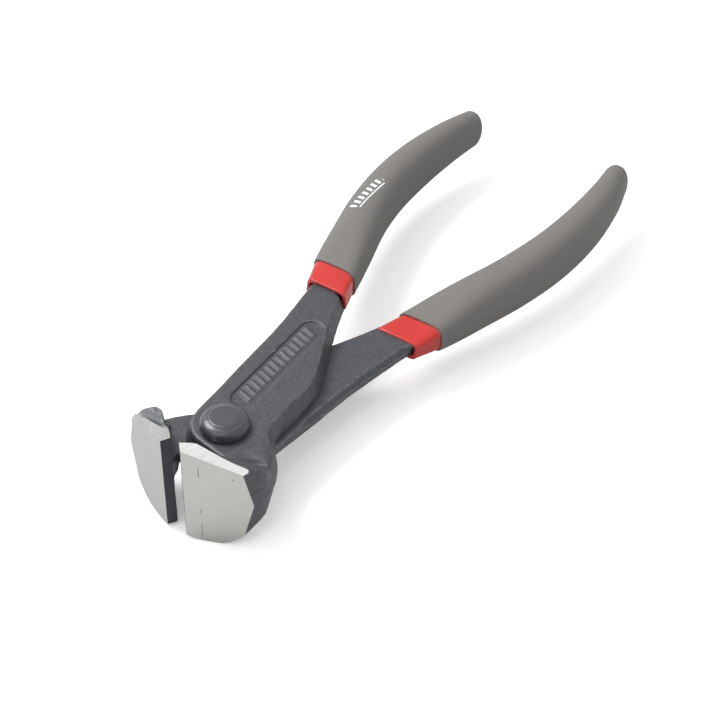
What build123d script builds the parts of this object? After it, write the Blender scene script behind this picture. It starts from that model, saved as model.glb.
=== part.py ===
"""End-cutting nippers, 200 mm: two forged levers, a pivot rivet and two-layer handle grips.

Frame: millimetres, +Y from the jaws to the handle ends, +X to the right, +Z up along the rivet.
The origin is under the middle of the tool, level with the lowest point of the jaws.
All features are drawn on planes through the pivot, the point where the rivet axis meets the lap.
"""
from build123d import *
import math
import os

# ---- driving dimensions -------------------------------------------------------------------
PIVOT_Y = -77.95           # pivot position along the tool
PIVOT_Z = 16.7             # height of the lap plane above the lowest point of the jaws
PLATE_T = 5.5              # thickness of each lever at the lap
PLATE_DRAFT = 18.0         # forging draft of the shank edges, degrees
HEAD_DRAFT = 11.0          # forging draft of the jaw head, degrees
LAP_GAP = 0.04             # running gap between the two levers

EDGE_X = 1.35              # cutting edge: half of the gap left between the jaws at rest
EDGE_Y = -20.1             # cutting edge: distance in front of the pivot
BEVEL = 2.0                # front bevel, both ways
FACE_SWEEP = 22.0          # backward sweep of the ground front face, degrees
FACE_TOP_Z = 15.6          # height of the front face at its inner corner
FACE_BOTTOM_Z = -16.7      # flat ground on the belly of the jaw
HOLLOW_STEP_Z = 6.8        # height where the hollow behind the blade gets deeper

RIVET_R = 4.0
RIVET_HEAD_R = 7.0
RIVET_HEAD_H = 4.0
RIVET_HEAD_ROUND = 2.6
RIVET_TAIL_R = 5.8
RIVET_TAIL_H = 1.5
RUNNING_GAP = 0.05

PANEL_L = 42.0             # sunk panel on the shank
PANEL_W = 7.2
PANEL_DEPTH = 0.6
RIB_COUNT = 14
RIB_PITCH = 2.5
RIB_H = 0.45

# handle stations: distance behind the pivot, offset outwards, height of the centre line,
# then half width, half height and squareness of the outer grip
HANDLE = [
    (54.0, 10.2, 2.9, 7.3, 2.5, 7.5),
    (72.0, 16.0, 2.4, 7.9, 4.75, 4.2),
    (90.0, 21.9, 1.2, 7.5, 7.5, 2.7),
    (108.0, 27.4, 0.7, 7.1, 8.5, 2.4),
    (126.0, 30.9, 0.2, 6.8, 8.9, 2.3),
    (144.0, 31.8, 0.0, 6.35, 8.6, 2.3),
    (162.0, 30.5, 0.0, 5.45, 7.8, 2.2),
    (180.0, 27.6, 0.0, 4.0, 6.8, 2.1),
]
HANDLE_PITCH = 18.0
SLEEVE_START = 64.6        # front lip of the red sleeve
GRIP_START = 73.4          # front edge of the outer grip
SLEEVE_END = 163.0
TANG_START = 60.0
TANG_END = 156.0
GRIP_END = 173.2           # start of the rounded end
GRIP_CAP = 4.8             # length of the rounded end
SLEEVE_WALL = 1.7          # outer grip thickness over the sleeve
TANG_HALF = (4.9, 2.4)     # tang half width and half height at its root
TANG_TAPER = 0.34          # share of the tang section lost by its end
LEAN = (76.0, 100.0)       # handle sections turn from square to the tool to square to the grip

LAP = Plane(origin=(0, PIVOT_Y, PIVOT_Z), x_dir=(1, 0, 0), z_dir=(0, 0, 1))
SIDE = Plane(origin=(0, PIVOT_Y, PIVOT_Z), x_dir=(0, 1, 0), z_dir=(1, 0, 0))
FRONT = Plane(origin=(0, PIVOT_Y, PIVOT_Z), x_dir=(1, 0, 0), z_dir=(0, -1, 0))
TURN = Axis((0, PIVOT_Y, PIVOT_Z), (0, 1, 0))


def squircle(half_w, half_h, power, count=20):
    """Points of a rounded-rectangle curve."""
    points = []
    for i in range(count):
        a = 2 * math.pi * i / count
        c, s = math.cos(a), math.sin(a)
        x = math.copysign(abs(c) ** (2 / power), c) * half_w
        y = math.copysign(abs(s) ** (2 / power), s) * half_h
        points.append((x, y))
    return points


def station(y):
    """Smooth values of the handle table at any distance behind the pivot."""
    t = (y - HANDLE[0][0]) / HANDLE_PITCH
    i = min(max(int(t), 0), len(HANDLE) - 2)
    t -= i
    p0, p1, p2, p3 = (HANDLE[min(max(i + k, 0), len(HANDLE) - 1)] for k in (-1, 0, 1, 2))
    values = []
    for a, b, c, d in zip(p0, p1, p2, p3):
        values.append(
            b + 0.5 * t * (c - a + t * (2 * a - 5 * b + 4 * c - d + t * (3 * (b - c) + d - a)))
        )
    return values[1:]


def station_plane(y):
    """Plane across the handle, square to the tool at the front; its x runs across the handle."""
    out, z = station(y)[:2]
    slope = station(y + 0.5)[0] - station(y - 0.5)[0]
    slope *= min(max((y - LEAN[0]) / (LEAN[1] - LEAN[0]), 0), 1)
    length = math.hypot(1, slope)
    across = (1 / length, slope / length, 0)
    along = (-slope / length, 1 / length, 0)
    return Plane(origin=(-out, PIVOT_Y + y, PIVOT_Z + z), x_dir=across, z_dir=along)


def stations(start, end, pitch=5.0):
    """Evenly spread distances from start to end."""
    count = round((end - start) / pitch)
    return [start + (end - start) * i / count for i in range(count + 1)]


# ---- lever forging, shared by both levers --------------------------------------------------
# outlines are chains of points at the lap plane, going round with the material on the left
SHANK_OUTSIDE = [
    (-20.1, 66.5), (-18.3, 57), (-16.2, 44), (-14.9, 32), (-14.0, 20), (-12.8, 8), (-12.3, 1),
    (-10.2, -5.0), (-5.6, -8.9), (0, -10.1), (4.0, -10.8), (7.4, -11.1), (10.4, -10.3), (13.1, -8.4),
    (15.6, -6.6),
]
SHANK_INSIDE = [
    (21.4, -6.4), (19.2, -1.8), (15.6, 2.6), (12.4, 6.0), (11.1, 10.5), (10.9, 18), (10.6, 24.5),
    (9.8, 30.0), (7.6, 35.4), (2.7, 45.2), (-1.0, 53.0), (-4.2, 60.3), (-6.6, 66.5),
]
HEAD_OUTSIDE = [
    (16.2, -30.0), (18.5, -24.0), (20.3, -18.0), (21.5, -14.0), (22.2, -10.0), (21.2, -6.2), (18.9, -2.0),
    (16.0, 1.4), (13.0, 3.6),
]
HEAD_INSIDE = [(2.0, 3.6), (-8.0, -6.0), (-8.0, -30.0)]


def moved_in(chains, step):
    """The same chains with every point moved into the material by a step."""
    ring = [p for chain in chains for p in chain]
    moved = []
    for i, (x, y) in enumerate(ring):
        x0, y0 = ring[i - 1]
        x1, y1 = ring[(i + 1) % len(ring)]
        a = math.atan2(y - y0, x - x0)
        b = math.atan2(y1 - y, x1 - x)
        half = math.remainder(b - a, 2 * math.pi) / 2
        reach = step / max(math.cos(half), 0.4)
        moved.append((x - reach * math.sin(a + half), y + reach * math.cos(a + half)))
    result = []
    for chain in chains:
        result.append(moved[: len(chain)])
        moved = moved[len(chain):]
    return result


SHANK = [SHANK_OUTSIDE, SHANK_INSIDE]
HEAD = [HEAD_OUTSIDE, HEAD_INSIDE]
HEAD_REACH = 18.0
plate_inset = PLATE_T * math.tan(math.radians(PLATE_DRAFT))
head_inset = HEAD_REACH * math.tan(math.radians(HEAD_DRAFT))
cos_s, sin_s = math.cos(math.radians(FACE_SWEEP)), math.sin(math.radians(FACE_SWEEP))
face_x, face_y = EDGE_X + BEVEL, EDGE_Y - BEVEL

with BuildPart() as forging:
    # shank and boss: a drafted plate
    with BuildSketch(LAP):
        with BuildLine():
            Spline(*SHANK_OUTSIDE)
            Line(SHANK_OUTSIDE[-1], SHANK_INSIDE[0])
            Spline(*SHANK_INSIDE)
            Line(SHANK_INSIDE[-1], SHANK_OUTSIDE[0])
        make_face()
    top_outside, top_inside = moved_in(SHANK, plate_inset)
    with BuildSketch(LAP.offset(PLATE_T)):
        with BuildLine():
            Spline(*top_outside)
            Line(top_outside[-1], top_inside[0])
            Spline(*top_inside)
            Line(top_inside[-1], top_outside[0])
        make_face()
    loft(ruled=True)
    # upper face falls a little towards the handle
    with BuildSketch(SIDE):
        with BuildLine():
            Polyline((49, PLATE_T + 0.1), (72, 4.85), (72, 8), (49, 8), close=True)
        make_face()
    extrude(amount=60, both=True, mode=Mode.SUBTRACT)
    # tang inside the grip
    for y in stations(TANG_START, TANG_END):
        size = 1 - TANG_TAPER * (y - TANG_START) / (TANG_END - TANG_START)
        with BuildSketch(station_plane(y)):
            RectangleRounded(2 * TANG_HALF[0] * size, 2 * TANG_HALF[1] * size, 1.0)
    loft(ruled=True)

with BuildPart() as head:
    # jaw head: drafted both ways from the middle
    with BuildSketch(LAP):
        with BuildLine():
            Spline(*HEAD_OUTSIDE)
            Polyline(HEAD_OUTSIDE[-1], *HEAD_INSIDE, HEAD_OUTSIDE[0])
        make_face()
    top_outside, top_inside = moved_in(HEAD, head_inset)
    with BuildSketch(LAP.offset(HEAD_REACH)):
        with BuildLine():
            Spline(*top_outside)
            Polyline(top_outside[-1], *top_inside, top_outside[0])
        make_face()
    loft(ruled=True)
    mirror(about=LAP)
    # side profile: flares from the plate to the height of the blade
    with BuildSketch(SIDE):
        with BuildLine():
            Spline(
                (8, PLATE_T - 0.05), (-2.5, PLATE_T - 0.05), (-5.0, 6.1), (-6.9, 7.1), (-8.6, 8.2),
                (-10.4, 9.3), (-12.2, 10.3), (-13.7, 11.2), (-14.8, 12.1), (-15.8, 13.4), (-16.7, 14.9),
                (-17.9, 16.3), (-20.5, 17.4), (-30, 17.6),
            )
            Line((-30, 17.6), (-30, -17.6))
            Spline(
                (-30, -17.6), (-22.0, -17.4), (-17.6, -16.9), (-15.0, -15.6), (-12.9, -14.2),
                (-11.0, -13.3), (-9.7, -12.0), (-8.8, -9.8), (-7.4, -5.6), (-5.9, -2.6), (-4.6, -0.8),
                (-2.8, 0.0),
            )
            Line((-2.8, 0.0), (8, 0.0))
            Line((8, 0.0), (8, PLATE_T - 0.05))
        make_face()
    extrude(amount=60, both=True, mode=Mode.INTERSECT)
    # front profile: outer corners rounded alike above and below
    with BuildSketch(FRONT):
        with BuildLine():
            Spline(
                (-8, 17.6), (10, 17.2), (14.4, 15.8), (17.4, 13.4), (19.4, 10.4), (21.2, 6.2), (22.4, 2.0),
                (22.4, -2.0), (21.2, -6.2), (19.4, -10.4), (17.4, -13.4), (14.4, -15.8), (10, -17.2),
                (-8, -17.6),
            )
            Line((-8, -17.6), (-8, 17.6))
        make_face()
    extrude(amount=60, both=True, mode=Mode.INTERSECT)
    # ground front face, front bevel and flank of the blade, then the hollow behind it
    with BuildSketch(LAP.offset(-25)):
        with BuildLine():
            Polyline(
                (7.9, -9.4), (7.9, 8.0), (-30, 8.0), (-30, -50), (50, -50),
                (face_x + 40 * cos_s, face_y + 40 * sin_s), (face_x, face_y), (EDGE_X, EDGE_Y),
                (6.1, -15.35),
            )
            ThreePointArc((6.1, -15.35), (7.4, -12.9), (7.9, -9.4))
        make_face()
    extrude(amount=50, mode=Mode.SUBTRACT)
    # the hollow is deeper near the facet
    with BuildSketch(LAP.offset(HOLLOW_STEP_Z)):
        with BuildLine():
            Polyline((10.7, -9.4), (10.7, 8.0), (-30, 8.0), (-30, -22), (-0.5, -22), (7.12, -14.33))
            ThreePointArc((7.12, -14.33), (8.6, -13.5), (9.9, -12.4))
            ThreePointArc((9.9, -12.4), (10.9, -10.9), (10.7, -9.4))
        make_face()
    extrude(amount=20, mode=Mode.SUBTRACT)
    # the head blends down to the plate
    blend = Plane(
        origin=(10.6, PIVOT_Y - 9.5, PIVOT_Z + PLATE_T), x_dir=(1, 0, 1), z_dir=(-1, 2.2, 1)
    )
    with BuildSketch(blend):
        Rectangle(60, 60)
    extrude(amount=30, mode=Mode.SUBTRACT)
    # room for the other lever's boss below the lap
    with BuildSketch(LAP):
        Circle(16.4)
    extrude(amount=-20, mode=Mode.SUBTRACT)

with BuildPart() as blank:
    add(forging.part)
    add(head.part)
    # sunk panel with plain slanted ribs
    panel = Plane(
        origin=(-4.5, PIVOT_Y + 29.9, PIVOT_Z + PLATE_T), x_dir=(-2.3, 40.2, 0), z_dir=(0, 0, 1)
    )
    with BuildSketch(panel):
        SlotOverall(PANEL_L, PANEL_W)
    extrude(amount=-PANEL_DEPTH, mode=Mode.SUBTRACT)
    with BuildSketch(panel.offset(-PANEL_DEPTH)):
        with GridLocations(RIB_PITCH, 1, RIB_COUNT, 1):
            Rectangle(1.15, 4.7, rotation=-20)
    extrude(amount=RIB_H)

# ---- levers --------------------------------------------------------------------------------
# grinding common to both jaws, drawn for the right jaw
with BuildPart() as belly:
    with BuildSketch(FRONT):
        with BuildLine():
            Spline(
                (-8, -14.4), (-1, -14.8), (face_x, -15.6), (6.0, -16.5), (8.5, FACE_BOTTOM_Z - 0.2),
                (12.5, FACE_BOTTOM_Z - 0.1), (15.5, -15.4), (19.0, -13.0), (24.0, -11.0),
            )
            Polyline((24.0, -11.0), (24.0, -24.0), (-8, -24.0), (-8, -14.4))
        make_face()
    extrude(amount=30)
    with BuildSketch(LAP.offset(FACE_BOTTOM_Z)):
        with Locations((10, -20)):
            Rectangle(40, 40)
    extrude(amount=-10)

facet = Plane(
    origin=(face_x, PIVOT_Y + face_y, PIVOT_Z + FACE_TOP_Z), x_dir=(1, 0, -0.34), z_dir=(0.34, -0.06, 1)
)
with BuildPart() as wide_facet:
    with BuildSketch(facet):
        with Locations((10, 8)):
            Rectangle(40, 40)
    extrude(amount=20)
# on the lap side the facet stops at a scoop in front of the hump
with BuildPart() as short_facet:
    with BuildSketch(facet):
        with BuildLine():
            Polyline((-12, -12), (40, -12), (40, 16.9), (-12, 3.6), close=True)
        make_face()
    extrude(amount=20)
    with BuildSketch(Plane(origin=(0.4, PIVOT_Y - 17.1, PIVOT_Z + 17.7), z_dir=(15.5, 4.2, -5.1))):
        Circle(1.9)
    extrude(amount=26)
    # the hump falls away outwards
    with BuildSketch(Plane(origin=(14.2, PIVOT_Y - 11.0, PIVOT_Z + 14.06), z_dir=(4.92, 3.07, 6.12))):
        Rectangle(30, 30)
    extrude(amount=10)

with BuildPart() as upper_lever:
    add(blank.part)
    add(belly.part, mode=Mode.SUBTRACT)
    add(wide_facet.part, mode=Mode.SUBTRACT)
    with BuildSketch(LAP):
        Circle(RIVET_R)
    extrude(amount=PLATE_T + 5, both=True, mode=Mode.SUBTRACT)
upper_lever.part.label = "upper lever"

with BuildPart() as lower_lever:
    add(blank.part.rotate(TURN, 180))
    add(belly.part.mirror(SIDE), mode=Mode.SUBTRACT)
    add(short_facet.part.mirror(SIDE), mode=Mode.SUBTRACT)
    with BuildSketch(LAP):
        Circle(RIVET_R + RUNNING_GAP)
    extrude(amount=PLATE_T + 5, both=True, mode=Mode.SUBTRACT)
    # skim the lap face for the running gap
    with BuildSketch(LAP.offset(-LAP_GAP)):
        with Locations((0, 22)):
            Rectangle(60, 76)
    extrude(amount=LAP_GAP, mode=Mode.SUBTRACT)
lower_lever.part.label = "lower lever"

# ---- pivot rivet ---------------------------------------------------------------------------
with BuildPart() as pivot_rivet:
    with BuildSketch(LAP.offset(-PLATE_T)):
        Circle(RIVET_R)
    extrude(amount=2 * PLATE_T)
    with BuildSketch(LAP.offset(PLATE_T)):
        Circle(RIVET_HEAD_R)
    extrude(amount=RIVET_HEAD_H)
    fillet(pivot_rivet.edges().group_by(Axis.Z)[-1], RIVET_HEAD_ROUND)
    with BuildSketch(LAP.offset(-PLATE_T - RUNNING_GAP)):
        Circle(RIVET_TAIL_R)
    extrude(amount=-RIVET_TAIL_H)
    fillet(pivot_rivet.edges().group_by(Axis.Z)[0], 1.1)
    with BuildSketch(LAP.offset(-PLATE_T - RUNNING_GAP)):
        Circle(RIVET_R)
    extrude(amount=RUNNING_GAP)
pivot_rivet.part.label = "pivot rivet"

# ---- grips ---------------------------------------------------------------------------------
with BuildPart() as sleeve_body:
    for y in stations(SLEEVE_START, SLEEVE_END):
        half_w, half_h, power = station(y)[2:]
        wall = SLEEVE_WALL * min(1, 0.32 + max(y - GRIP_START, 0) / 18)
        with BuildSketch(station_plane(y)):
            with BuildLine():
                Spline(*squircle(half_w - wall, half_h - wall, power), periodic=True)
            make_face()
    loft(ruled=True)

with BuildPart() as grip_body:
    for y in stations(GRIP_START, GRIP_END):
        half_w, half_h, power = station(y)[2:]
        with BuildSketch(station_plane(y)):
            with BuildLine():
                Spline(*squircle(half_w, half_h, power), periodic=True)
            make_face()
    loft(ruled=True)
    half_w, half_h, power = station(GRIP_END)[2:]
    for reach in (0, 0.2, 0.4, 0.58, 0.74, 0.87, 0.95, 0.985, 0.999):
        shrink = math.sqrt(1 - reach**2)
        with BuildSketch(station_plane(GRIP_END).offset(GRIP_CAP * reach)):
            with BuildLine():
                Spline(*squircle(half_w * shrink, half_h * shrink, power), periodic=True)
            make_face()
    loft(ruled=True)

with BuildPart() as left_inner_sleeve:
    add(sleeve_body.part)
    add(upper_lever.part, mode=Mode.SUBTRACT)
left_inner_sleeve.part.label = "left inner sleeve"

with BuildPart() as left_outer_grip:
    add(grip_body.part)
    add(sleeve_body.part, mode=Mode.SUBTRACT)
left_outer_grip.part.label = "left outer grip"

with BuildPart() as right_inner_sleeve:
    add(left_inner_sleeve.part.rotate(TURN, 180))
right_inner_sleeve.part.label = "right inner sleeve"

with BuildPart() as right_outer_grip:
    add(left_outer_grip.part.rotate(TURN, 180))
right_outer_grip.part.label = "right outer grip"

# ---- files ---------------------------------------------------------------------------------
os.makedirs("parts", exist_ok=True)
export_step(upper_lever.part, "parts/upper_lever.step")
export_step(lower_lever.part, "parts/lower_lever.step")
export_step(pivot_rivet.part, "parts/pivot_rivet.step")
export_step(left_inner_sleeve.part, "parts/left_inner_sleeve.step")
export_step(right_inner_sleeve.part, "parts/right_inner_sleeve.step")
export_step(left_outer_grip.part, "parts/left_outer_grip.step")
export_step(right_outer_grip.part, "parts/right_outer_grip.step")
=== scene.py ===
"""Looks of the end-cutting nippers: forged levers with ground jaws, rivet, sleeves and grips."""
import math

import bmesh
import bpy
import numpy as np
from mathutils import Matrix, Vector, noise


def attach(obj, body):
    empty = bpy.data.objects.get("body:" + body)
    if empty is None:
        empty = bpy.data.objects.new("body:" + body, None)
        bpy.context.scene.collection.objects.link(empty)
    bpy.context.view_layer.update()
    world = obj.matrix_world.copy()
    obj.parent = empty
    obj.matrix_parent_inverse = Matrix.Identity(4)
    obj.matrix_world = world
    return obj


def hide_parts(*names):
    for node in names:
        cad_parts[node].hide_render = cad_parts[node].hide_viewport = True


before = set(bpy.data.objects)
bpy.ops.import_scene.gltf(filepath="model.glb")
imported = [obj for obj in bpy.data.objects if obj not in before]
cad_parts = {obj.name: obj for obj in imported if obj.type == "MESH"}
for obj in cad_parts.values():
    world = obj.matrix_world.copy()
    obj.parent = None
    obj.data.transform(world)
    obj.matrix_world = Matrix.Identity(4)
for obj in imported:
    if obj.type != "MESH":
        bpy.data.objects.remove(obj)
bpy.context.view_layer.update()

MM = 0.001
PIVOT = np.array([0.0, -0.07795, 0.0167])  # rivet axis at the lap plane, row frame


# ---- mesh helpers: shapes are made in millimetres from the pivot ---------------------------
def put_in_scene(name, mesh, body, replaced):
    """An object that rides on a body and stands for a CAD node."""
    obj = bpy.data.objects.new(name, mesh)
    bpy.context.scene.collection.objects.link(obj)
    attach(obj, body)
    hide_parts(replaced)
    return obj


def smooth_object(name, points, faces, body, replaced):
    """A smooth-shaded object from points in mm from the pivot."""
    mesh = bpy.data.meshes.new(name)
    mesh.from_pydata([tuple(p) for p in np.asarray(points) * MM + PIVOT], [], faces)
    mesh.validate()
    mesh.update()
    mesh.shade_smooth()
    return put_in_scene(name, mesh, body, replaced)


def plain_mesh(points, faces):
    mesh = bpy.data.meshes.new("plain")
    mesh.from_pydata([tuple(p) for p in points], [], faces)
    return mesh


def float_attribute(mesh, name, values):
    layer = mesh.attributes.new(name, "FLOAT", "POINT")
    layer.data.foreach_set("value", np.asarray(values, np.float32))


def mesh_array(items, name, kind, width):
    """A property of all vertices or edges as the rows of an array."""
    values = np.zeros(len(items) * width, kind)
    items.foreach_get(name, values)
    return values.reshape(-1, width)


def ramp(values, start, end):
    """0 up to start, 1 from end on, straight between them."""
    return np.clip((values - start) / (end - start), 0, 1)


def smoothed(co, edges, factor, times):
    """Moves every point part of the way to the mean of its neighbours, several times."""
    a, b = edges[:, 0], edges[:, 1]
    n = len(co)
    count = np.bincount(a, minlength=n) + np.bincount(b, minlength=n)
    for _ in range(times):
        mean = np.zeros_like(co)
        for k in range(3):
            mean[:, k] = np.bincount(a, co[b, k], n) + np.bincount(b, co[a, k], n)
        mean /= count[:, None]
        co = co + factor * (mean - co)
    return co


def tube(rings):
    """Points and faces of a closed skin through rings of equal count."""
    n = len(rings[0])
    last = (len(rings) - 1) * n
    faces = []
    for start in range(0, last, n):
        for j in range(n):
            k = (j + 1) % n
            faces.append((start + j, start + k, start + n + k, start + n + j))
    faces.append(tuple(reversed(range(n))))
    faces.append(tuple(last + j for j in range(n)))
    return np.vstack(rings), faces


# ---- forged levers -------------------------------------------------------------------------
# Sizes are given for the upper lever, which has the right jaw and side 1. The lower lever has
# side -1 and is the same forging turned over about the long axis of the tool.
FACE, BEVEL, FACET, SCOOP = 1, 2, 3, 4  # material places of the ground surfaces
FACE_SWEEP = math.radians(22.0)
EDGE_X, EDGE_Y = 1.35, -20.1            # where the bevel meets the cutting edge
BEVEL_SIZE = 2.0
FACE_X, FACE_Y = EDGE_X + BEVEL_SIZE, EDGE_Y - BEVEL_SIZE
FACE_TOP_Z = 15.6
# ground planes of the right jaw: point, outward normal, material place
GROUND = (
    ((FACE_X, FACE_Y, 0.0), (math.sin(FACE_SWEEP), -math.cos(FACE_SWEEP), 0.0), FACE),
    ((EDGE_X, EDGE_Y, 0.0), (-1.0, -1.0, 0.0), BEVEL),
    ((FACE_X, FACE_Y, FACE_TOP_Z), (0.34, -0.06, 1.0), FACET),
)
ON_PLANE_CAD, ON_PLANE_CUT, SAME_WAY = 0.02, 0.004, 0.98
FACET_LOW_Z, RIGHT_FACET_BACK_Y = 5.0, -8.0  # the facet's plane cuts only above and before these
LEFT_FACET_SLOPE, LEFT_FACET_OVERCUT = 0.27, 0.9

# scoop between the facet and the hump of the left jaw
SCOOP_POINT, SCOOP_AXIS, SCOOP_R = (-0.4, -17.1, 17.7), (-15.5, 4.2, -5.1), 1.9
SCOOP_MARGIN, SCOOP_LOW_Z = 0.08, 8.0

# stock left on in front of the ground surfaces until they are cut: directions and length
STOCK_WAYS, STOCK = ((-0.7071, -0.7071, 0.0), (-0.1, -0.8, 0.6)), 2.2
VOXEL = 0.31
PANEL_ROUNDS, FORGING_ROUNDS, HEAD_ROUNDS = 2, 5, 70  # smoothing rounds
CREASE_FILL = 1.8
SHARP_BEND = 0.99                       # cosine below which a ground edge is drawn sharp

# sunk panel with slanting ribs: its middle, direction, length, width and the zone around it
PANEL_CENTRE, PANEL_WAY = (-4.5, 29.9), (-0.0571, 0.9984)
PANEL_L, PANEL_W = 42.0, 7.2
PANEL_ZONE, PANEL_LOW_Z = (6.5, 23.0), 4.3
RIB_COUNT, RIB_PITCH, RIB_SLANT = 14, 2.5, 0.364

# outer edge of the shank beside the other lever, bevelled on the lap side
SHANK_EDGE = (
    (-12.8, 8.0), (-14.0, 20.0), (-14.9, 32.0), (-16.2, 44.0), (-18.3, 57.0), (-20.1, 66.5),
)
EDGE_BEVEL, EDGE_DROP, EDGE_DROP_MAX, EDGE_DEPTH = 1.7, 0.95, 1.9, 2.6

SKIN_WAVES = ((0.16, 0.09), (0.5, 0.05))  # frequency and height of the uneven skin
SKIN_SINK = 0.02
SKIN_SHIFT = 40.0                       # moves the waves apart on the two levers
TANG_CUT, TANG_OVERLAP = 74.0, 1.0


def cad_points(node):
    """Points of a CAD node in mm from the pivot, and its triangles."""
    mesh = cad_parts[node].data
    mesh.calc_loop_triangles()
    co = np.array([v.co for v in mesh.vertices], float)
    return (co - PIVOT) / MM, [tuple(t.vertices) for t in mesh.loop_triangles]


def ground_planes(side):
    """Point, unit normal and material place of the ground planes of one lever."""
    mirror = np.array([side, 1.0, 1.0])
    planes = []
    for point, normal, place in GROUND:
        n = np.array(normal) * mirror
        planes.append((np.array(point) * mirror, n / np.linalg.norm(n), place))
    return planes


def with_stock(points, tris, planes, side):
    """The lever with prisms of extra stock, so that its ground surfaces are crisp when cut again."""
    verts, faces = [tuple(p) for p in points], list(tris)
    tri_points = points[np.array(tris)]
    for point, n, _ in planes:
        off = np.abs((tri_points - point) @ n).max(axis=1)
        for base in tri_points[off < ON_PLANE_CAD]:
            if np.cross(base[1] - base[0], base[2] - base[0]) @ n < 0:
                base = base[::-1]
            for way in STOCK_WAYS:
                way = np.array(way) * (side, 1.0, 1.0)
                if way @ n < 0.1:
                    continue
                k = len(verts)
                verts += [tuple(p) for p in base] + [tuple(p + STOCK * way) for p in base]
                faces += [
                    (k + 2, k + 1, k), (k + 3, k + 4, k + 5), (k, k + 1, k + 4, k + 3),
                    (k + 1, k + 2, k + 5, k + 4), (k + 2, k, k + 3, k + 5),
                ]
    return verts, faces


def voxel_mesh(verts, faces):
    """One even skin round overlapping closed shapes."""
    rough = bpy.data.objects.new("rough", plain_mesh(verts, faces))
    bpy.context.scene.collection.objects.link(rough)
    remesh = rough.modifiers.new("voxels", "REMESH")
    remesh.mode = "VOXEL"
    remesh.voxel_size = VOXEL
    evaluated = rough.evaluated_get(bpy.context.evaluated_depsgraph_get())
    mesh = bpy.data.meshes.new_from_object(evaluated)
    bpy.data.objects.remove(rough)
    return mesh


def rounded_edges(co, edges, side):
    """Soft forging edges, crisper in the zone of the panel."""
    own = co * (side, 1.0, side)
    panel = own[:, 2] > PANEL_LOW_Z
    for k in range(2):
        panel &= np.abs(own[:, k] - PANEL_CENTRE[k]) < PANEL_ZONE[k]
    crisp = smoothed(co, edges, 0.5, PANEL_ROUNDS)
    co = smoothed(co, edges, 0.5, FORGING_ROUNDS)
    co[panel] = crisp[panel]
    return smoothed(co, edges, 0.4, 1)


def soft_head(co, edges, side):
    """The jaw head runs softly into the plate, and the crease between them is filled."""
    x, y, z = (co * (side, 1.0, side)).T
    zone = ramp(z, 0.8, 1.8) * ramp(x, 9.0, 11.5)
    zone *= ramp(y, -14.2, -12.7) * ramp(y, 4.0, 1.0)
    co = co + zone[:, None] * (smoothed(co, edges, 0.5, HEAD_ROUNDS) - co)
    filled = smoothed(co, edges, 0.5, HEAD_ROUNDS)
    rise = np.clip((filled[:, 2] - co[:, 2]) * side, 0, None)
    co[:, 2] += side * zone * rise * CREASE_FILL
    return co


def bevelled_shank(co, side):
    """A bevel along the outer edge of the shank on the lap side."""
    x, y, z = co.T
    edge_x = np.interp(y, [q[1] for q in SHANK_EDGE], [q[0] for q in SHANK_EDGE])
    width = EDGE_BEVEL * ramp(y, 14.0, 20.0) * ramp(y, 64.8, 61.8)
    drop = np.clip(width - (x * side - edge_x), 0, EDGE_DROP_MAX)
    co[:, 2] += side * drop * EDGE_DROP * ramp(np.abs(z), EDGE_DEPTH, 0.0)
    return co


def uneven_skin(co, normals, side):
    """Low waves of the forged skin, none on the lap or under the rivet."""
    amount = ramp(np.abs(co[:, 2]), 0.6, 1.6) * ramp(np.hypot(co[:, 0], co[:, 1]), 6.5, 9.5)
    for i in np.nonzero(amount > 0)[0]:
        p = Vector(co[i]) + Vector((SKIN_SHIFT * side, 0, 0))
        lift = sum(height * noise.noise(p * frequency) for frequency, height in SKIN_WAVES)
        co[i] += normals[i] * (amount[i] * (lift - SKIN_SINK))
    return co


def cut_away(bm, point, normal, where=None):
    """Cuts away what lies beyond a plane and closes the cut; where limits it to a region."""
    geom = bm.verts[:] + bm.edges[:] + bm.faces[:]
    if where is not None:
        faces = [f for f in bm.faces if where(f.calc_center_median())]
        edges = {e for f in faces for e in f.edges}
        geom = list({v for f in faces for v in f.verts}) + list(edges) + faces
    cut = bmesh.ops.bisect_plane(
        bm, geom=geom, dist=1e-4, plane_co=point, plane_no=normal, clear_outer=True
    )
    edges = [g for g in cut["geom_cut"] if isinstance(g, bmesh.types.BMEdge) and g.is_valid]
    edges = [e for e in edges if e.is_boundary]
    if not edges:
        return
    made = bmesh.ops.triangle_fill(bm, use_beauty=True, use_dissolve=False, edges=edges)
    for f in made["geom"]:
        if isinstance(f, bmesh.types.BMFace):
            f.normal_update()
            if f.normal.dot(Vector(normal)) < 0:
                f.normal_flip()


def grind(bm, planes, side):
    """Cuts the ground surfaces; the facet's plane may not cut the hump behind it."""
    def near_facet(c):
        if c.z <= FACET_LOW_Z:
            return False
        if side > 0:
            return c.y < RIGHT_FACET_BACK_Y
        return c.y - SCOOP_POINT[1] - LEFT_FACET_SLOPE * c.x * side < LEFT_FACET_OVERCUT

    for point, n, place in planes:
        cut_away(bm, tuple(point), tuple(n), near_facet if place == FACET else None)


def mark_surfaces(bm, planes, side):
    """Gives the ground surfaces and the scoop of the left jaw their material places."""
    axis = Vector(SCOOP_AXIS).normalized()
    for f in bm.faces:
        f.smooth = True
        f.material_index = 0
        c = f.calc_center_median()
        for point, n, place in planes:
            on_plane = abs((np.array(c) - point) @ n) < ON_PLANE_CUT
            if on_plane and f.normal.dot(Vector(n)) > SAME_WAY:
                f.material_index = place
        if side < 0 and f.material_index == 0 and c.z > SCOOP_LOW_Z:
            away = c - Vector(SCOOP_POINT)
            if (away - axis * away.dot(axis)).length < SCOOP_R + SCOOP_MARGIN:
                f.material_index = SCOOP


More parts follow.
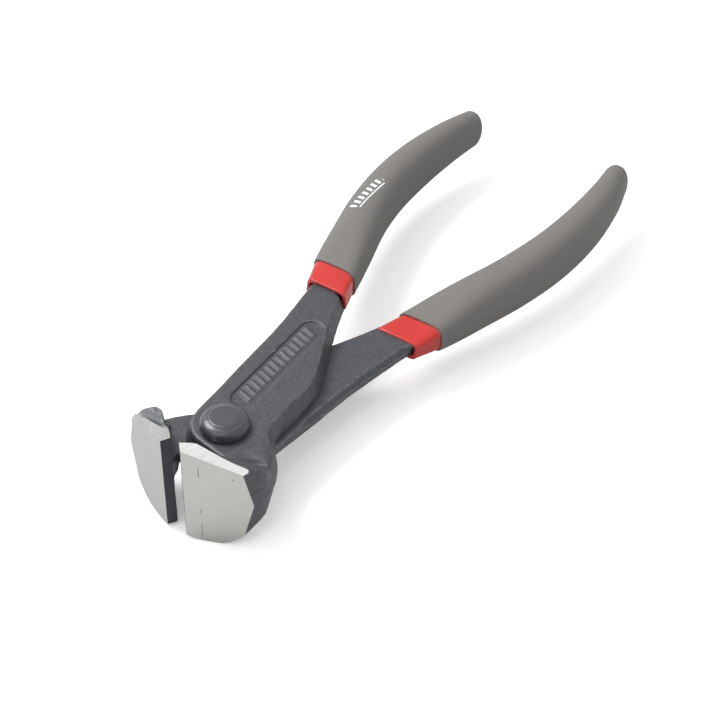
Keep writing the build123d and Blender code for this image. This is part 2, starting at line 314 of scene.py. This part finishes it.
def sharpen_ground_edges(bm):
    for e in bm.edges:
        if len(e.link_faces) == 2:
            a, b = e.link_faces
            bent = a.material_index > 0 and a.normal.dot(b.normal) < SHARP_BEND
            if bent or a.material_index != b.material_index:
                e.smooth = False


def add_plain_tang(bm, points, tris):
    """The tang deep inside the grip stays as it is in the CAD."""
    source = plain_mesh(points, tris)
    tang = bmesh.new()
    tang.from_mesh(source)
    bmesh.ops.remove_doubles(tang, verts=tang.verts[:], dist=1e-4)
    cut_away(tang, (0, TANG_CUT - TANG_OVERLAP, 0), (0, -1, 0))
    bmesh.ops.triangulate(tang, faces=tang.faces[:])
    mesh = bpy.data.meshes.new("tang")
    tang.to_mesh(mesh)
    tang.free()
    bm.from_mesh(mesh)
    bpy.data.meshes.remove(mesh)
    bpy.data.meshes.remove(source)


def forged_lever(name, node, body, side):
    """A lever with a soft forged skin and crisp ground surfaces."""
    points, tris = cad_points(node)
    planes = ground_planes(side)
    mesh = voxel_mesh(*with_stock(points, tris, planes, side))
    edges = mesh_array(mesh.edges, "vertices", int, 2)
    co = rounded_edges(mesh_array(mesh.vertices, "co", float, 3), edges, side)
    co = bevelled_shank(soft_head(co, edges, side), side)
    mesh.vertices.foreach_set("co", co.ravel())
    mesh.update()
    co = uneven_skin(co, mesh_array(mesh.vertices, "normal", float, 3), side)
    mesh.vertices.foreach_set("co", co.ravel())

    bm = bmesh.new()
    bm.from_mesh(mesh)
    bpy.data.meshes.remove(mesh)
    cut_away(bm, (0, TANG_CUT, 0), (0, 1, 0))
    grind(bm, planes, side)
    mark_surfaces(bm, planes, side)
    sharpen_ground_edges(bm)
    add_plain_tang(bm, points, tris)
    mesh = bpy.data.meshes.new(name)
    bm.to_mesh(mesh)
    bm.free()
    mesh.transform(Matrix.Translation(Vector(PIVOT)) @ Matrix.Scale(MM, 4))
    return put_in_scene(name, mesh, body, node)


# ---- grips and sleeves ---------------------------------------------------------------------
# distance behind the pivot, offset outwards, centre height, half width, half height, squareness
HANDLE = (
    (54.0, 10.2, 2.9, 7.3, 2.5, 7.5),
    (72.0, 16.0, 2.4, 7.9, 4.75, 4.2),
    (90.0, 21.9, 1.2, 7.5, 7.5, 2.7),
    (108.0, 27.4, 0.7, 7.1, 8.5, 2.4),
    (126.0, 30.9, 0.2, 6.8, 8.9, 2.3),
    (144.0, 31.8, 0.0, 6.35, 8.6, 2.3),
    (162.0, 30.5, 0.0, 5.45, 7.8, 2.2),
    (180.0, 27.6, 0.0, 4.0, 6.8, 2.1),
)
HANDLE_PITCH = 18.0
LEAN_START, LEAN_END = 76.0, 100.0  # sections turn from square to the tool to square to the grip
DRAFT, DRAFT_END = 0.07, 68.0       # share by which the front narrows towards the top
SLEEVE_START, SLEEVE_END = 64.8, 163.0
GRIP_START, GRIP_END, GRIP_CAP = 73.4, 173.2, 4.8
CAP_STEPS, CAP_TIP = 16, 0.03       # rows of the rounded end and the share left at its tip
SLEEVE_WALL = 1.7                   # depth of the sleeve under the skin of the grip
WALL_AT_LIP, WALL_GROWTH = 0.32, 18.0
SIDE_SHIFT, SHIFT_START, SHIFT_END = 0.9, 80.0, 110.0
AROUND = 112
# sleeve from inside the mouth over the lip: distance from the front, depth under the skin there
MOUTH = (
    (5.2, 1.9), (3.0, 1.6), (1.2, 1.4), (0.45, 1.25), (0.08, 0.8), (0.0, 0.40),
    (0.05, 0.10), (0.3, -0.08), (0.8, -0.02),
)
# rolled front edge of the grip: distance from the front, share of the wall, added depth
GRIP_EDGE = (
    (0.25, 1.0, 0.02), (0.04, 1.0, -0.12), (0.0, 0.62, 0.0), (0.05, 0.3, 0.0),
    (0.25, 0.1, 0.0), (0.6, 0.0, 0.0),
)


def station(y):
    """Smooth values of the handle table at any distance behind the pivot."""
    t = (y - HANDLE[0][0]) / HANDLE_PITCH
    i = min(max(int(t), 0), len(HANDLE) - 2)
    t -= i
    p0, p1, p2, p3 = (HANDLE[min(max(i + k, 0), len(HANDLE) - 1)] for k in (-1, 0, 1, 2))
    return [
        b + 0.5 * t * (c - a + t * (2 * a - 5 * b + 4 * c - d + t * (3 * (b - c) + d - a)))
        for a, b, c, d in zip(p0, p1, p2, p3)
    ][1:]


def section(y, inset, beyond):
    """A squared ellipse across the left handle; beyond moves it out along the rounded end."""
    out, z, half_w, half_h, power = station(y)
    slope = station(y + 0.5)[0] - station(y - 0.5)[0]
    slope *= ramp(y, LEAN_START, LEAN_END)
    length = math.hypot(1, slope)
    across = np.array([1 / length, slope / length, 0])
    along = np.array([-slope / length, 1 / length, 0])
    centre = np.array([-out, y, z]) + along * beyond
    shrink = max(math.sqrt(1 - (beyond / GRIP_CAP) ** 2), CAP_TIP)
    a = 2 * np.pi * np.arange(AROUND) / AROUND
    c, s = np.cos(a), np.sin(a)
    x = np.sign(c) * np.abs(c) ** (2 / power) * (half_w - inset) * shrink
    v = np.sign(s) * np.abs(s) ** (2 / power) * (half_h - inset) * shrink
    x = x * (1 - DRAFT * ramp(y, LEAN_START, DRAFT_END) * v / half_h)
    return centre + np.outer(x, across) + np.outer(v, [0, 0, 1.0])


def resampled(points):
    """The same closed curve with evenly spaced points."""
    loop = np.vstack([points, points[:1]])
    d = np.concatenate([[0], np.cumsum(np.linalg.norm(np.diff(loop, axis=0), axis=1))])
    t = np.linspace(0, d[-1], len(points) + 1)[:-1]
    return np.stack([np.interp(t, d, loop[:, k]) for k in range(3)], axis=1)


def wall_at(y):
    """Depth of the sleeve under the skin, thin at the lip and full further back."""
    return SLEEVE_WALL * min(1, WALL_AT_LIP + max(y - GRIP_START, 0) / WALL_GROWTH)


def sleeve_rows():
    """Sections of a sleeve, from inside the mouth to the end: distance, inset, beyond."""
    skin = wall_at(SLEEVE_START)
    rows = [(SLEEVE_START + back, skin + depth, 0) for back, depth in MOUTH]
    y = SLEEVE_START + 1.4
    while y < SLEEVE_END:
        rows.append((y, wall_at(y), 0))
        y += 0.8 if y < LEAN_START else 4.0
    rows.append((SLEEVE_END, SLEEVE_WALL, 0))
    return rows


def grip_rows():
    """Sections of a grip, from inside its front to the rounded end: distance, inset, beyond."""
    rows = [(y, wall_at(y) - 0.02, 0) for y in (100.0, 90.0, 82.0, 76.0, 73.0)]
    edge = wall_at(GRIP_START)
    for back, share, depth in GRIP_EDGE:
        rows.append((GRIP_START + back, edge * share + depth, 0))
    y = GRIP_START + 1.6
    while y < GRIP_END:
        rows.append((y, 0.0, 0))
        y += 1.3
    for k in range(CAP_STEPS + 1):
        rows.append((GRIP_END, 0.0, GRIP_CAP * math.sin(math.pi / 2 * k / CAP_STEPS)))
    return rows


def handle_piece(name, rows, side, body, replaced):
    """A handle layer; side -1 is the left handle, 1 the right one turned over."""
    points, faces = tube([resampled(section(*row)) for row in rows])
    along = [y + beyond for y, _, beyond in rows]
    centres = np.array([station(min(v, GRIP_END))[:2] for v in along])
    out, height = np.repeat(centres, AROUND, axis=0).T
    along = np.repeat(along, AROUND)
    # the front of the left layers sits a little further back, that of the right ones forward
    points = points + np.outer(ramp(along, SHIFT_END, SHIFT_START), [0, -SIDE_SHIFT * side, 0])
    lift = points[:, 2] - height
    if side > 0:
        points = points * (-1.0, 1.0, -1.0)
    obj = smooth_object(name, points, faces, body, replaced)
    float_attribute(obj.data, "along", along)
    float_attribute(obj.data, "across", out - points[:, 0] * side)
    float_attribute(obj.data, "lift", lift)
    return obj


# ---- rivet ---------------------------------------------------------------------------------
# outline as radius and height, from the top of the head to the bottom of the tail
RIVET_TOP = [(0.6, 9.50), (2.0, 9.50), (3.6, 9.49), (4.15, 9.46), (4.4, 9.36), (4.58, 9.18)]
DOME_R, DOME_Z, DOME_REACH, DOME_RISE, DOME_STEPS = 4.62, 6.7, 2.33, 2.38, 10
RIVET_RIM = [(6.99, 6.5), (7.0, 6.1), (6.95, 5.75), (6.8, 5.56), (6.5, 5.5)]
RIVET_SHANK = [(3.98, 5.5), (3.98, -5.55)]
RIVET_TAIL = [
    (5.5, -5.56), (5.75, -5.7), (5.8, -5.95), (5.55, -6.5), (4.9, -6.95), (4.2, -7.05),
    (0.6, -7.05),
]
RIVET_AROUND = 128
HEAD_SEEN_Z, TAIL_SEEN_Z = 6.0, -5.8    # the skin is uneven above and below these
RIVET_WAVE = (0.45, 0.05)               # frequency and height


def rivet_outline():
    dome = []
    for k in range(1, DOME_STEPS):
        a = math.pi / 2 * k / DOME_STEPS
        dome.append((DOME_R + DOME_REACH * math.sin(a), DOME_Z + DOME_RISE * math.cos(a)))
    return RIVET_TOP + dome + RIVET_RIM + RIVET_SHANK + RIVET_TAIL


def rivet(name, body, replaced):
    a = 2 * np.pi * np.arange(RIVET_AROUND) / RIVET_AROUND
    rings = []
    for r, z in reversed(rivet_outline()):
        rings.append(np.stack([r * np.cos(a), r * np.sin(a), np.full(RIVET_AROUND, z)], axis=1))
    points, faces = tube(rings)
    frequency, height = RIVET_WAVE
    for i, p in enumerate(points):
        if p[2] > HEAD_SEEN_Z or p[2] < TAIL_SEEN_Z:
            v = Vector(p)
            lift = height * noise.noise(v * frequency) - SKIN_SINK
            points[i] += np.array(v.normalized()) * lift
    return smooth_object(name, points, faces, body, replaced)


# ---- materials -----------------------------------------------------------------------------
class Shader:
    """A small builder for node materials in object space; inputs are numbers or sockets."""

    def __init__(self, name):
        self.mat = bpy.data.materials.new(name)
        self.mat.use_nodes = True
        self.tree = self.mat.node_tree
        self.bsdf = next(n for n in self.tree.nodes if n.type == "BSDF_PRINCIPLED")
        self.coord = self.add("ShaderNodeTexCoord")

    def add(self, kind, **settings):
        node = self.tree.nodes.new(kind)
        for key, value in settings.items():
            setattr(node, key, value)
        return node

    def link(self, source, target):
        self.tree.links.new(source, target)

    def put(self, socket, value):
        if isinstance(value, bpy.types.NodeSocket):
            self.link(value, socket)
        else:
            socket.default_value = value

    def noise(self, scale, detail=3.0, rough=0.55, vector=None):
        node = self.add("ShaderNodeTexNoise")
        self.link(vector or self.coord.outputs["Object"], node.inputs["Vector"])
        node.inputs["Scale"].default_value = scale
        node.inputs["Detail"].default_value = detail
        node.inputs["Roughness"].default_value = rough
        return node.outputs["Fac"]

    def voronoi(self, scale):
        node = self.add("ShaderNodeTexVoronoi")
        self.link(self.coord.outputs["Object"], node.inputs["Vector"])
        node.inputs["Scale"].default_value = scale
        return node.outputs["Distance"]

    def math(self, operation, a, b=0.0):
        node = self.add("ShaderNodeMath", operation=operation)
        self.put(node.inputs[0], a)
        self.put(node.inputs[1], b)
        return node.outputs[0]

    def sum(self, a, b):
        return self.math("ADD", a, b)

    def less(self, a, b):
        return self.math("SUBTRACT", a, b)

    def times(self, a, b):
        return self.math("MULTIPLY", a, b)

    def span(self, value, lo, hi, to_lo=0.0, to_hi=1.0):
        """The value carried from one range to another and held inside it."""
        node = self.add("ShaderNodeMapRange")
        node.clamp = True
        self.put(node.inputs["Value"], value)
        node.inputs["From Min"].default_value = lo
        node.inputs["From Max"].default_value = hi
        node.inputs["To Min"].default_value = to_lo
        node.inputs["To Max"].default_value = to_hi
        return node.outputs["Result"]

    def between(self, value, lo, hi, soft=0.08):
        """1 between two limits, with soft ends."""
        rise = self.span(value, lo - soft, lo + soft)
        fall = self.span(value, hi - soft, hi + soft, 1.0, 0.0)
        return self.times(rise, fall)

    def mix(self, factor, a, b):
        node = self.add("ShaderNodeMix", data_type="RGBA")
        self.put(node.inputs["Factor"], factor)
        self.put(node.inputs[6], a)
        self.put(node.inputs[7], b)
        return node.outputs[2]

    def bump(self, height, strength, distance):
        node = self.add("ShaderNodeBump")
        node.inputs["Strength"].default_value = strength
        node.inputs["Distance"].default_value = distance
        self.link(height, node.inputs["Height"])
        return node.outputs["Normal"]

    def mapped(self, scale, rotation=(0, 0, 0)):
        node = self.add("ShaderNodeMapping")
        self.link(self.coord.outputs["Object"], node.inputs["Vector"])
        node.inputs["Rotation"].default_value = rotation
        node.inputs["Scale"].default_value = scale
        return node.outputs["Vector"]

    def place(self):
        """The three object coordinates in metres."""
        node = self.add("ShaderNodeSeparateXYZ")
        self.link(self.coord.outputs["Object"], node.inputs[0])
        return node.outputs["X"], node.outputs["Y"], node.outputs["Z"]

    def value(self, name):
        """A number stored on the mesh points."""
        return self.add("ShaderNodeAttribute", attribute_name=name).outputs["Fac"]

    def finish(self, color, roughness, metallic=0.0, normal=None, specular=0.5):
        self.put(self.bsdf.inputs["Base Color"], color)
        self.put(self.bsdf.inputs["Roughness"], roughness)
        self.put(self.bsdf.inputs["Metallic"], metallic)
        self.put(self.bsdf.inputs["Specular IOR Level"], specular)
        if normal is not None:
            self.link(normal, self.bsdf.inputs["Normal"])
        return self.mat


SHADOW_TONE = (0.012, 0.012, 0.014, 1)


def own_place(s, side):
    """Coordinates on a lever in mm from the pivot, in the sense of the upper lever."""
    x, y, z = s.place()
    x = s.times(x, side / MM)
    y = s.less(s.times(y, 1 / MM), PIVOT[1] / MM)
    z = s.times(s.less(z, PIVOT[2]), side / MM)
    return x, y, z


def panel_shading(s, color, x, y, z):
    """Painted shade in the rim of the sunk panel and in the gaps between its ribs, and a painted
    highlight on the rib tops.
    """
    x, y = s.less(x, PANEL_CENTRE[0]), s.less(y, PANEL_CENTRE[1])
    u = s.sum(s.times(x, PANEL_WAY[0]), s.times(y, PANEL_WAY[1]))
    v = s.less(s.times(x, PANEL_WAY[1]), s.times(y, PANEL_WAY[0]))
    straight = (PANEL_L - PANEL_W) / 2
    past = s.math("MAXIMUM", s.less(s.math("ABSOLUTE", u), straight), 0.0)
    reach = s.math("SQRT", s.sum(s.times(past, past), s.times(v, v)))
    rim = s.between(reach, PANEL_W / 2 - 0.38, PANEL_W / 2 + 0.02, 0.12)
    ribs = s.math("DIVIDE", s.sum(u, s.times(v, RIB_SLANT)), RIB_PITCH)
    off = s.math("ABSOLUTE", s.less(s.math("FRACT", s.sum(ribs, RIB_COUNT / 2)), 0.5))
    in_row = s.times(s.between(v, -2.6, 2.6, 0.15), s.between(u, -straight, straight, 0.2))
    gap = s.times(s.between(off, 0.25, 0.37, 0.03), in_row)
    top = s.times(s.between(off, -1.0, 0.20, 0.04), in_row)
    outside = s.span(z, 3.8, 4.4)
    # painted shade: the rim and the gaps beside the ribs are darkened towards the shadow tone
    shade = s.times(s.math("MAXIMUM", s.times(rim, 0.75), s.times(gap, 0.7)), outside)
    color = s.mix(shade, color, SHADOW_TONE)
    # painted highlight: the rib tops are mixed towards a lighter grey
    return s.mix(s.times(s.times(top, outside), 0.18), color, (0.13, 0.135, 0.145, 1))


def parting_line(s, color, y, z):
    """Painted shade as a dark seam round the outside of the jaw head, with bright specks above it.
    """
    level = s.sum(z, s.times(s.less(s.noise(500, 2), 0.5), 0.7))
    head = s.span(y, -3.1, -6.1)
    line = s.times(s.between(level, 3.6, 4.0, 0.12), head)
    # painted shade: a dark line along the seam, mixed towards the shadow tone
    color = s.mix(s.times(line, 0.7), color, SHADOW_TONE)
    specks = s.times(s.between(level, 4.0, 4.3, 0.1), s.span(s.noise(900, 1), 0.56, 0.62))
    return s.mix(s.times(specks, head), color, (0.35, 0.36, 0.37, 1))


def forged_steel(side):
    """Blasted dark forging whose sharp edges are lighter, for wear and as a painted highlight along
    them.
    """
    s = Shader("forged_steel_upper" if side > 0 else "forged_steel_lower")
    fine = s.noise(2600, 2)
    grit = s.noise(1100, 3, 0.7)
    cloud = s.noise(60, 3)
    # lighter sharp edges: wear, and a painted highlight along them
    wear_and_edge_highlight = s.span(s.add("ShaderNodeNewGeometry").outputs["Pointiness"], 0.506, 0.545)
    wear_and_edge_highlight = s.times(wear_and_edge_highlight, s.span(s.noise(420, 3), 0.35, 0.65))
    color = s.mix(s.span(grit, 0.35, 0.65), (0.038, 0.040, 0.046, 1), (0.070, 0.073, 0.082, 1))
    color = s.mix(s.span(cloud, 0.3, 0.7, 0, 0.35), color, (0.055, 0.057, 0.062, 1))
    speck = s.span(s.noise(1900, 1), 0.70, 0.76, 0, 0.5)
    color = s.mix(speck, color, (0.22, 0.23, 0.24, 1))
    color = s.mix(s.times(wear_and_edge_highlight, 0.5), color, (0.26, 0.27, 0.28, 1))
    x, y, z = own_place(s, side)
    color = panel_shading(s, color, x, y, z)
    if side > 0:
        color = parting_line(s, color, y, z)
    normal = s.bump(s.sum(s.times(grit, 0.7), s.times(fine, 0.4)), 0.3, 0.14 * MM)
    return s.finish(color, s.span(cloud, 0.3, 0.7, 0.44, 0.56), 0.25, normal)


def pitted(s, color):
    """Scattered dark pits and a broken upright row of them."""
    pit = s.span(s.noise(700, 2, 0.5), 0.735, 0.775)
    wobble = s.times(s.less(s.noise(300, 2), 0.5), 0.4 * MM)
    row = s.between(s.sum(s.place()[0], wobble), 7.35 * MM, 7.55 * MM, 0.08 * MM)
    dash = s.span(s.noise(1.0, 2, 0.6, s.mapped((60, 60, 560))), 0.49, 0.55)
    pit = s.math("MAXIMUM", pit, s.times(row, dash))
    return s.mix(s.times(pit, 0.8), color, (0.05, 0.05, 0.05, 1))


def ground_steel(name, tone, rough, pits=False):
    """Ground bright steel with fine brush marks across the tool."""
    s = Shader(name)
    streak = s.noise(1.0, 3, 0.6, s.mapped((170, 170, 3400), (0, 0.1, 0)))
    darker, dull = (tuple(share * t for t in tone) + (1,) for share in (0.86, 0.8))
    color = s.mix(s.span(streak, 0.3, 0.7), darker, tone + (1,))
    color = s.mix(s.span(s.noise(110, 3), 0.35, 0.7, 0, 0.35), color, dull)
    if pits:
        color = pitted(s, color)
    normal = s.bump(streak, 0.12, 0.04 * MM)
    return s.finish(color, s.span(streak, 0.3, 0.7, rough - 0.04, rough + 0.08), 0.85, normal)


def red_plastic():
    """Glossy red sleeve."""
    s = Shader("red_sleeve")
    cloud = s.noise(90, 2)
    color = s.mix(s.span(cloud, 0.3, 0.7), (0.44, 0.030, 0.026, 1), (0.50, 0.038, 0.032, 1))
    normal = s.bump(s.noise(900, 2), 0.05, 0.06 * MM)
    return s.finish(color, s.span(cloud, 0.3, 0.7, 0.16, 0.24), 0.0, normal, 0.28)


PRINT_START, PRINT_OFFSET, PRINT_LEAN = 101.0, 3.6, 0.17
BAR_PITCH, BAR_SLANT = 2.5, 0.12


def printed_bars(s):
    """A row of plain bars with a line under them, on top of the left grip."""
    u = s.less(s.value("along"), PRINT_START)
    v = s.less(s.sum(s.value("across"), PRINT_OFFSET), s.times(u, PRINT_LEAN))
    step = s.math("FRACT", s.sum(s.math("DIVIDE", u, BAR_PITCH), s.times(v, BAR_SLANT)))
    bars = s.times(s.between(step, 0.16, 0.62, 0.05), s.between(v, 0.0, 2.3))
    bars = s.times(bars, s.between(u, 0.2, 17.6))
    line = s.times(s.between(v, 2.95, 3.35), s.between(u, 0.6, 16.2))
    return s.times(s.math("MAXIMUM", bars, line), s.span(s.value("lift"), 0.0, 0.5))


def grey_rubber(printed):
    """Dull pebbled grip, with or without the printed bars."""
    s = Shader("grey_grip_printed" if printed else "grey_grip")
    grain = s.noise(2300, 3, 0.6)
    color = s.mix(s.span(grain, 0.32, 0.68), (0.132, 0.126, 0.118, 1), (0.176, 0.168, 0.159, 1))
    color = s.mix(s.span(s.noise(45, 3), 0.35, 0.7, 0, 0.3), color, (0.148, 0.142, 0.132, 1))
    if printed:
        color = s.mix(printed_bars(s), color, (0.80, 0.80, 0.79, 1))
    normal = s.bump(s.sum(grain, s.times(s.voronoi(1500), 0.5)), 0.45, 0.16 * MM)
    return s.finish(color, s.span(grain, 0.3, 0.7, 0.62, 0.74), 0.0, normal, 0.35)


def rivet_steel():
    """Dark satin steel of the rivet."""
    s = Shader("rivet_steel")
    grit = s.noise(1500, 3, 0.6)
    color = s.mix(s.span(grit, 0.35, 0.65), (0.060, 0.062, 0.068, 1), (0.074, 0.077, 0.083, 1))
    normal = s.bump(grit, 0.08, 0.08 * MM)
    return s.finish(color, s.span(s.noise(160, 2), 0.3, 0.7, 0.30, 0.36), 0.35, normal)


def pale_floor():
    """The floor throws back less light than it shows, for darker undersides, and glows faintly to
    the camera, a painted light that lightens the shadows on it.
    """
    s = Shader("pale_floor")
    ray = s.add("ShaderNodeLightPath").outputs
    color = s.mix(s.noise(8, 2), (0.93, 0.93, 0.93, 1), (0.95, 0.95, 0.95, 1))
    color = s.mix(ray["Is Diffuse Ray"], color, (0.35, 0.35, 0.35, 1))
    # painted light: the floor glows to camera rays, lightening the shadows cast on it
    s.put(s.bsdf.inputs["Emission Color"], (1, 1, 1, 1))
    s.put(s.bsdf.inputs["Emission Strength"], s.times(ray["Is Camera Ray"], 0.22))
    return s.finish(color, 0.9, specular=0.1)


# ---- pieces --------------------------------------------------------------------------------
right_face = ground_steel("ground_face", (0.41, 0.42, 0.40), 0.34, pits=True)
# painted shade: the left face and facet are darker copies of the right jaw's ground steel
left_face_painted_shade = ground_steel("ground_face_left_painted_shade", (0.32, 0.33, 0.32), 0.34)
left_facet_painted_shade = ground_steel("ground_facet_left_painted_shade", (0.46, 0.46, 0.45), 0.32)
# painted shade: the scoop in the left jaw is a darker copy of the ground steel
scoop_painted_shade = ground_steel("ground_scoop_painted_shade", (0.22, 0.23, 0.24), 0.26)
bevel_steel = ground_steel("ground_bevel", (0.035, 0.037, 0.042), 0.45)
right_facet = ground_steel("ground_facet", (0.88, 0.88, 0.86), 0.32)
for level, side, face, facet in (
    ("upper", 1, right_face, right_facet),
    ("lower", -1, left_face_painted_shade, left_facet_painted_shade),
):
    node = level + "_lever"
    lever = forged_lever(node + "_forged", node, node + "_body", side)
    for material in (forged_steel(side), face, bevel_steel, facet, scoop_painted_shade):
        lever.data.materials.append(material)

red, grey, printed = red_plastic(), grey_rubber(False), grey_rubber(True)
for label, side, body in (("left", -1, "upper_lever_body"), ("right", 1, "lower_lever_body")):
    sleeve = handle_piece(
        label + "_sleeve_shell", sleeve_rows(), side, body, label + "_inner_sleeve"
    )
    sleeve.data.materials.append(red)
    grip = handle_piece(
        label + "_grip_shell", grip_rows(), side, body, label + "_outer_grip"
    )
    grip.data.materials.append(printed if side < 0 else grey)

pin = rivet("pivot_rivet_turned", "upper_lever_body", "pivot_rivet")
pin.data.materials.append(rivet_steel())

# ---- floor, light, camera ------------------------------------------------------------------
FLOOR_HALF, FLOOR_DROP = 6, 0.0001
SKY_STRENGTH = 0.85
TARGET = Vector((0.010477, -0.028519, 0.0167))
# name, azimuth and elevation in degrees, distance, size, watts
LIGHTS = (
    ("key", -88, 52, 0.9, 0.4, 6.5),
    ("glint", 20, 62, 0.8, 0.04, 0.25),
    ("fill", -10, 35, 1.0, 0.7, 2.0),
)
LENS, SENSOR = 77.85, 36.0
CAM_AZ, CAM_EL, CAM_ROLL = math.radians(33.869), math.radians(40.958), math.radians(1.214)
CAM_DISTANCE = 0.452388


def direction(azimuth, elevation):
    """Unit vector away from the target; azimuth 0 is straight before the jaws, in radians."""
    flat = math.cos(elevation)
    return Vector((math.sin(azimuth) * flat, -math.cos(azimuth) * flat, math.sin(elevation)))


def area_light(name, azimuth, elevation, distance, size, watts):
    data = bpy.data.lights.new(name, "AREA")
    data.shape = "SQUARE"
    data.size = size
    data.energy = watts
    obj = bpy.data.objects.new(name, data)
    bpy.context.scene.collection.objects.link(obj)
    away = direction(math.radians(azimuth), math.radians(elevation))
    obj.location = TARGET + away * distance
    obj.rotation_euler = (-away).to_track_quat("-Z", "Y").to_euler()


corners = [(x * FLOOR_HALF, y * FLOOR_HALF, 0) for x, y in ((-1, -1), (1, -1), (1, 1), (-1, 1))]
floor_mesh = bpy.data.meshes.new("floor")
floor_mesh.from_pydata(corners, [], [(0, 1, 2, 3)])
floor_mesh.materials.append(pale_floor())
floor = bpy.data.objects.new("floor", floor_mesh)
bpy.context.scene.collection.objects.link(floor)
floor.location.z = -FLOOR_DROP

world = bpy.data.worlds.new("studio")
bpy.context.scene.world = world
world.use_nodes = True
sky = world.node_tree.nodes["Background"]
sky.inputs["Color"].default_value = (1, 1, 1, 1)
sky.inputs["Strength"].default_value = SKY_STRENGTH

for light in LIGHTS:
    area_light(*light)

cam_data = bpy.data.cameras.new("camera")
cam = bpy.data.objects.new("camera", cam_data)
bpy.context.scene.collection.objects.link(cam)
bpy.context.scene.camera = cam
cam_data.sensor_width = SENSOR
cam_data.lens = LENS
cam_data.clip_start, cam_data.clip_end = 0.01, 50.0
back = direction(CAM_AZ, CAM_EL)
right = Vector((math.cos(CAM_AZ), math.sin(CAM_AZ), 0.0))
up = back.cross(right)
cam_right = math.cos(CAM_ROLL) * right + math.sin(CAM_ROLL) * up
cam_up = -math.sin(CAM_ROLL) * right + math.cos(CAM_ROLL) * up
turn = Matrix((cam_right, cam_up, back)).transposed()
cam.matrix_world = Matrix.Translation(TARGET + back * CAM_DISTANCE) @ turn.to_4x4()

view = bpy.context.scene.view_settings
view.view_transform = "Standard"
view.look = "None"
